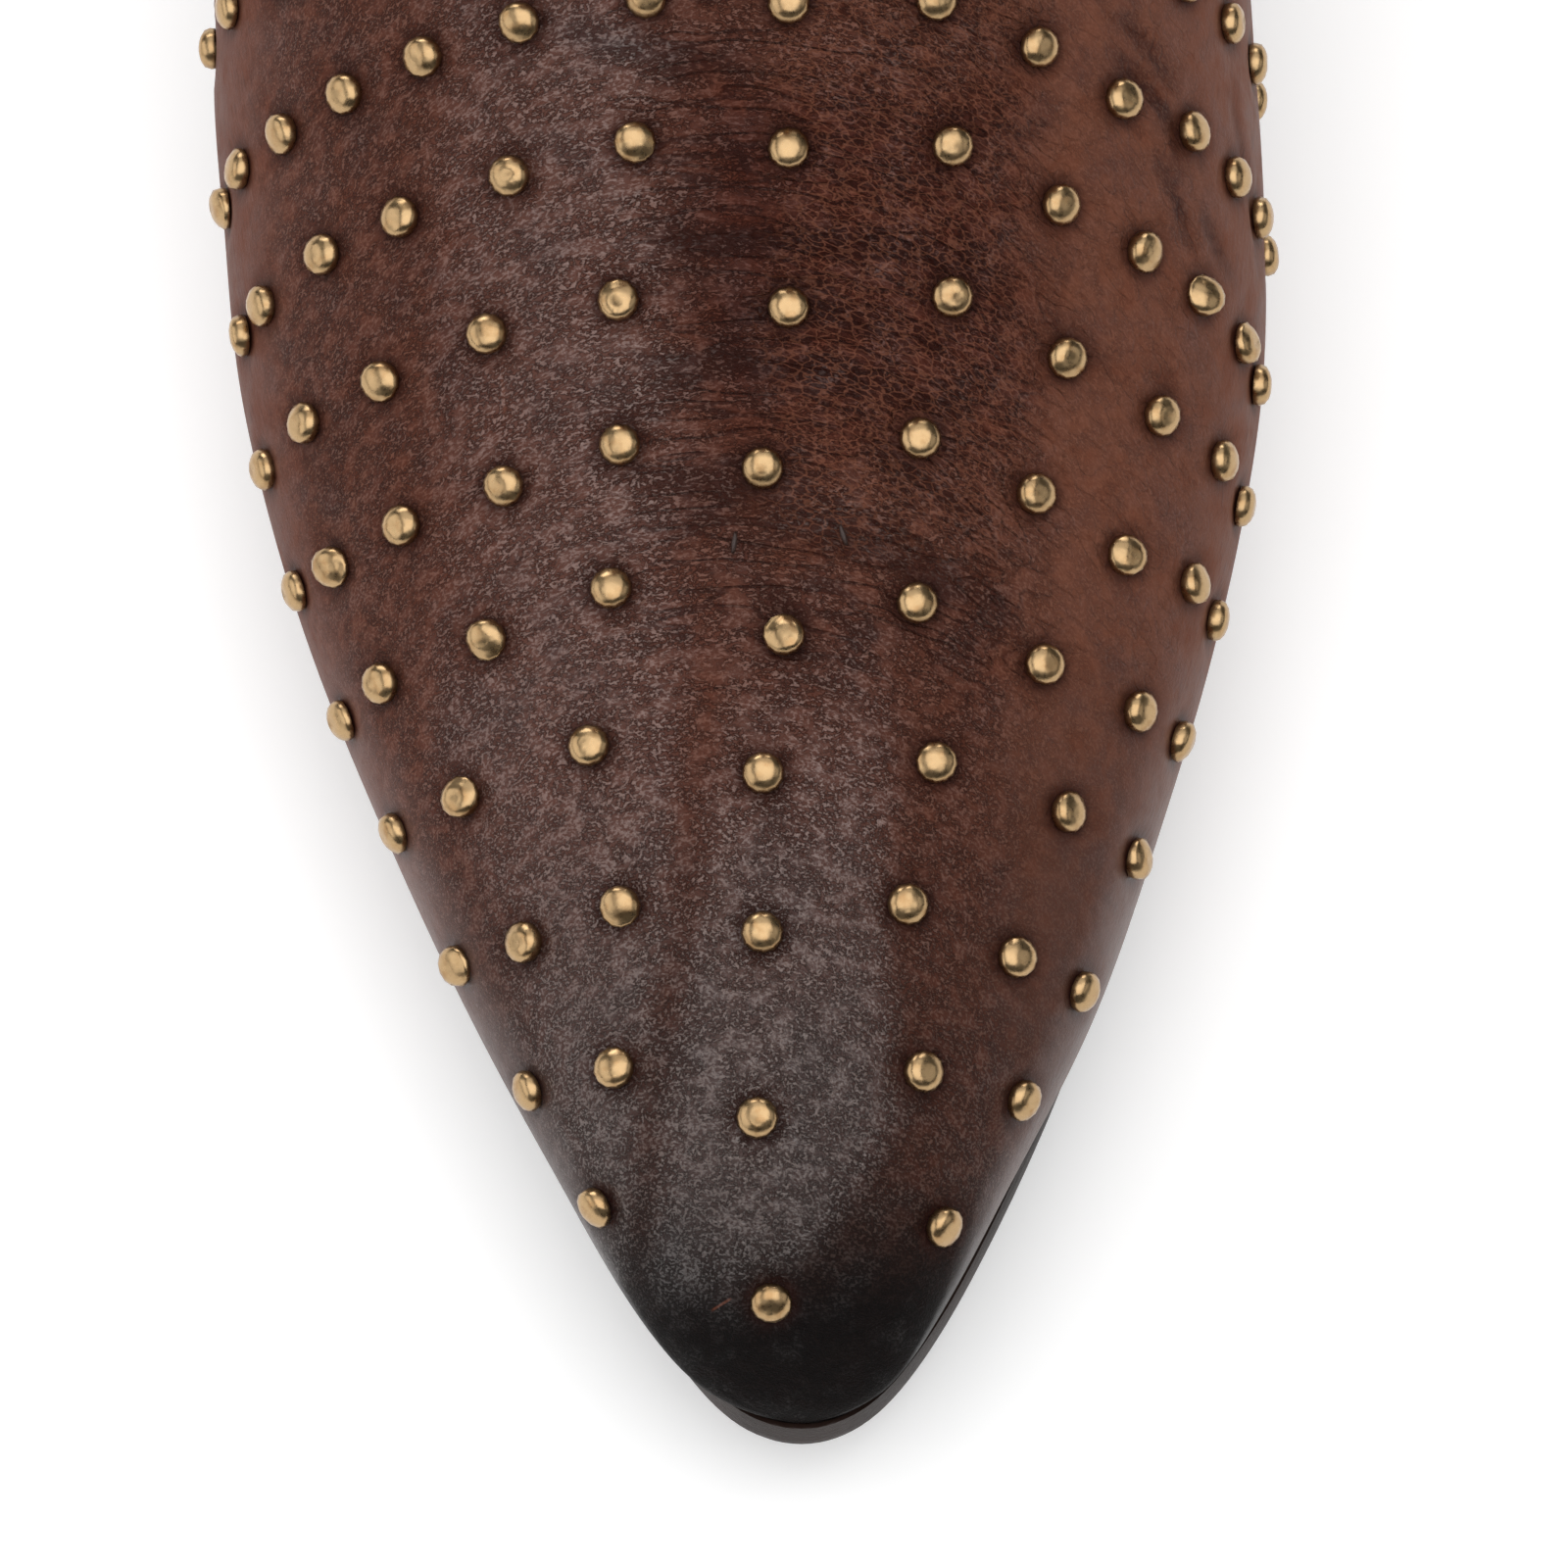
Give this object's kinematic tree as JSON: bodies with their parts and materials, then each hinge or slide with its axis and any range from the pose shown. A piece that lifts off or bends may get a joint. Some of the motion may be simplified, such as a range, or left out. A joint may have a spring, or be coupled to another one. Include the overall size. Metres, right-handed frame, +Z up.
{
  "type": "studded ankle boot",
  "caption": "Pointed right ankle boot of dark brown waxed leather, set all over with rows of round brass studs, on a thin leather sole and a stacked block heel",
  "frame": {"origin": "on the ground, under the middle of the boot's box", "axes": "+X toward the inner side of the foot, +Y toward the heel, +Z up"},
  "size_m": [0.0962, 0.276, 0.1724],
  "materials": {
    "upper_leather": "waxed, burnished almost black at the toe",
    "sole_leather": "dark edge, satin",
    "lining_leather": "smooth, undyed",
    "heel_leather": "stacked, stained dark",
    "lift_rubber": "matt",
    "stud_brass": "worn, low dome"
  },
  "bodies": {
    "root": {"upper": "upper_leather", "outsole": "sole_leather", "insole": "lining_leather", "heel": "heel_leather", "top_lift": "lift_rubber", "stud_0_0": "stud_brass", "stud_0_1": "stud_brass", "stud_0_2": "stud_brass", "stud_1_0": "stud_brass", "stud_1_1": "stud_brass", "stud_1_2": "stud_brass", "stud_1_3": "stud_brass", "stud_1_4": "stud_brass", "stud_2_0": "stud_brass", "stud_2_1": "stud_brass", "stud_2_2": "stud_brass", "stud_2_3": "stud_brass", "stud_2_4": "stud_brass", "stud_2_5": "stud_brass", "stud_2_6": "stud_brass", "stud_3_0": "stud_brass", "stud_3_1": "stud_brass", "stud_3_2": "stud_brass", "stud_3_3": "stud_brass", "stud_3_4": "stud_brass", "stud_3_5": "stud_brass", "stud_3_6": "stud_brass", "stud_4_0": "stud_brass", "stud_4_1": "stud_brass", "stud_4_2": "stud_brass", "stud_4_3": "stud_brass", "stud_4_4": "stud_brass", "stud_4_5": "stud_brass", "stud_4_6": "stud_brass", "stud_4_7": "stud_brass", "stud_4_8": "stud_brass", "stud_5_0": "stud_brass", "stud_5_1": "stud_brass", "stud_5_2": "stud_brass", "stud_5_3": "stud_brass", "stud_5_4": "stud_brass", "stud_5_5": "stud_brass", "stud_5_6": "stud_brass", "stud_5_7": "stud_brass", "stud_5_8": "stud_brass", "stud_5_9": "stud_brass", "stud_5_10": "stud_brass"}
  },
  "joints": []
}
